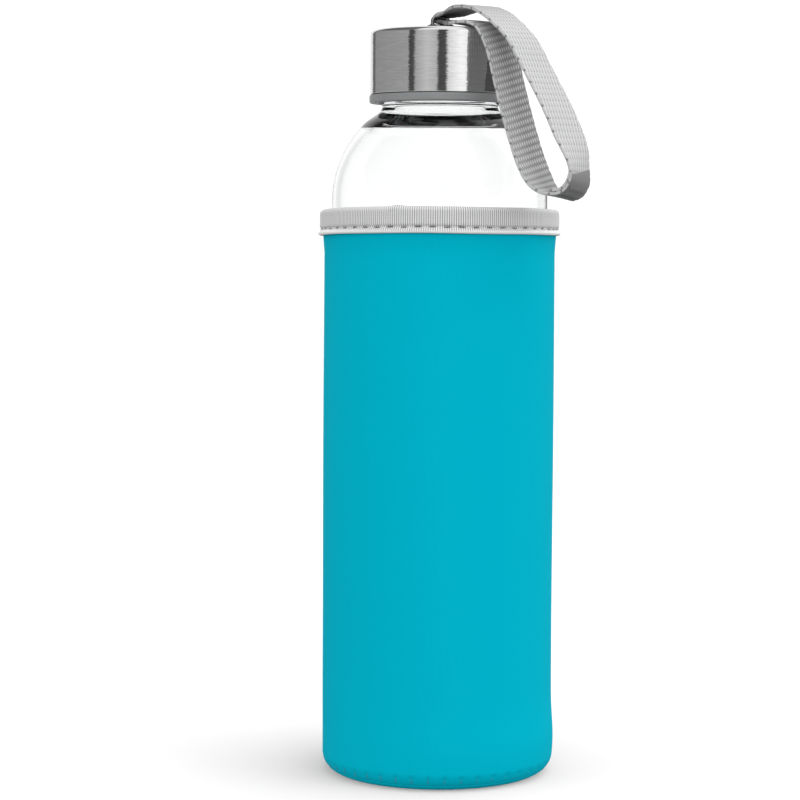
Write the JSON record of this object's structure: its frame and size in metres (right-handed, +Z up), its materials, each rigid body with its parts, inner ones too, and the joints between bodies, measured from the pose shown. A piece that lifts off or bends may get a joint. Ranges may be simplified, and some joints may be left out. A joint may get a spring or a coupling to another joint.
{
  "type": "glass water bottle",
  "caption": "Clear glass water bottle in a padded foam sleeve with a steel screw cap and a swivelling webbing carrying strap.",
  "frame": {"origin": "centre of the sleeve's underside, on the bottle's axis", "axes": "+Z up the bottle's axis, +X the way the strap hangs over the cap's rim, Y along the strap's bar"},
  "size_m": [0.0975, 0.0736, 0.2314],
  "materials": {
    "glass": "clear polished flint glass, greenish at the edges",
    "steel": "fine brushed round the cap",
    "bright_steel": "drawn wire, satin",
    "plastic": "satin moulded grey plastic",
    "silicone": "matte translucent white silicone",
    "sleeve_fabric": "turquoise knit faced foam, fine vertical wales",
    "binding_tape": "light grey ribbed woven tape",
    "strap_webbing": "light grey woven polyester webbing",
    "grey_thread": "grey sewing thread",
    "blue_thread": "turquoise sewing thread"
  },
  "bodies": {
    "sleeve": {"sleeve_base": "sleeve_fabric", "sleeve_wall": "sleeve_fabric", "rim_binding": "binding_tape", "rim_stitch_thread": "grey_thread", "base_seam_thread": "blue_thread", "side_seam_thread": "blue_thread"},
    "bottle": {"glass_bottle": "glass"},
    "gasket": {"seal_gasket": "silicone"},
    "cap": {"cap_shell": "steel", "cap_insert": "plastic", "backing_washer": "steel"},
    "eye": {"strap_eye": "bright_steel"},
    "strap": {"strap_webbing": "strap_webbing", "strap_tack_thread": "grey_thread"}
  },
  "joints": [
    {"name": "bottle_draw", "type": "slide", "parent": "sleeve", "child": "bottle", "axis": [0, 0, 1], "range_m": [0, 0.172]},
    {"name": "cap_lift", "type": "slide", "parent": "bottle", "child": "gasket", "axis": [0, 0, 1], "range_m": [0, 0.01692]},
    {"name": "cap_turn", "type": "hinge", "parent": "gasket", "child": "cap", "pos_m": [0, 0, 0.225], "axis": [0, 0, 1], "range_deg": [0, 1440]},
    {"name": "strap_swivel", "type": "hinge", "parent": "cap", "child": "eye", "pos_m": [0, 0, 0.225], "axis": [0, 0, 1], "continuous": true},
    {"name": "strap_swing", "type": "hinge", "parent": "eye", "child": "strap", "pos_m": [0, 0, 0.22898], "axis": [0, -1, 0], "range_deg": [0, 132]}
  ],
  "couplings": [
    {"joint": "cap_lift", "follows": "cap_turn", "m_per_rad": 0.0006732}
  ]
}
